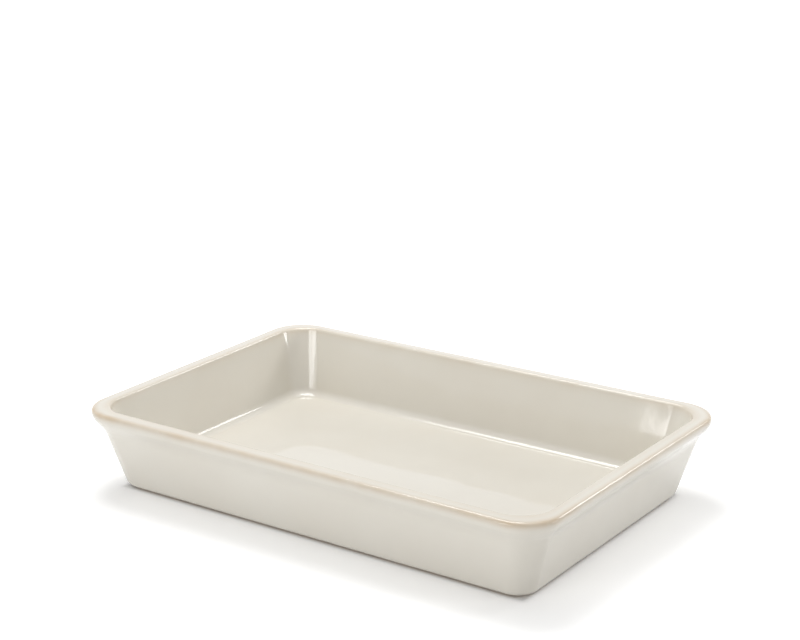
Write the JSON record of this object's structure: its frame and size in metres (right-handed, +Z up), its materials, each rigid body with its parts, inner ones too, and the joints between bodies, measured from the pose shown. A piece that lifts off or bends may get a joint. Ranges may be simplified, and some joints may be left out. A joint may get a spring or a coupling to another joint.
{
  "type": "rectangular stoneware roasting dish",
  "caption": "Deep rectangular roasting dish in glazed stoneware with flared walls, a rounded outward lip, rounded corners and a recessed base on a flat foot ring.",
  "frame": {"origin": "on the standing plane under the middle of the dish", "axes": "+X along the length, +Y across the width, +Z up out of the open top"},
  "size_m": [0.4, 0.27, 0.0655],
  "materials": {
    "fired_clay": "matt fired stoneware, tan",
    "cream_glaze": "gloss cream glaze"
  },
  "bodies": {
    "root": {"stoneware_body": "fired_clay", "inside_glaze": "cream_glaze", "outside_glaze": "cream_glaze", "base_glaze": "cream_glaze"}
  },
  "joints": []
}
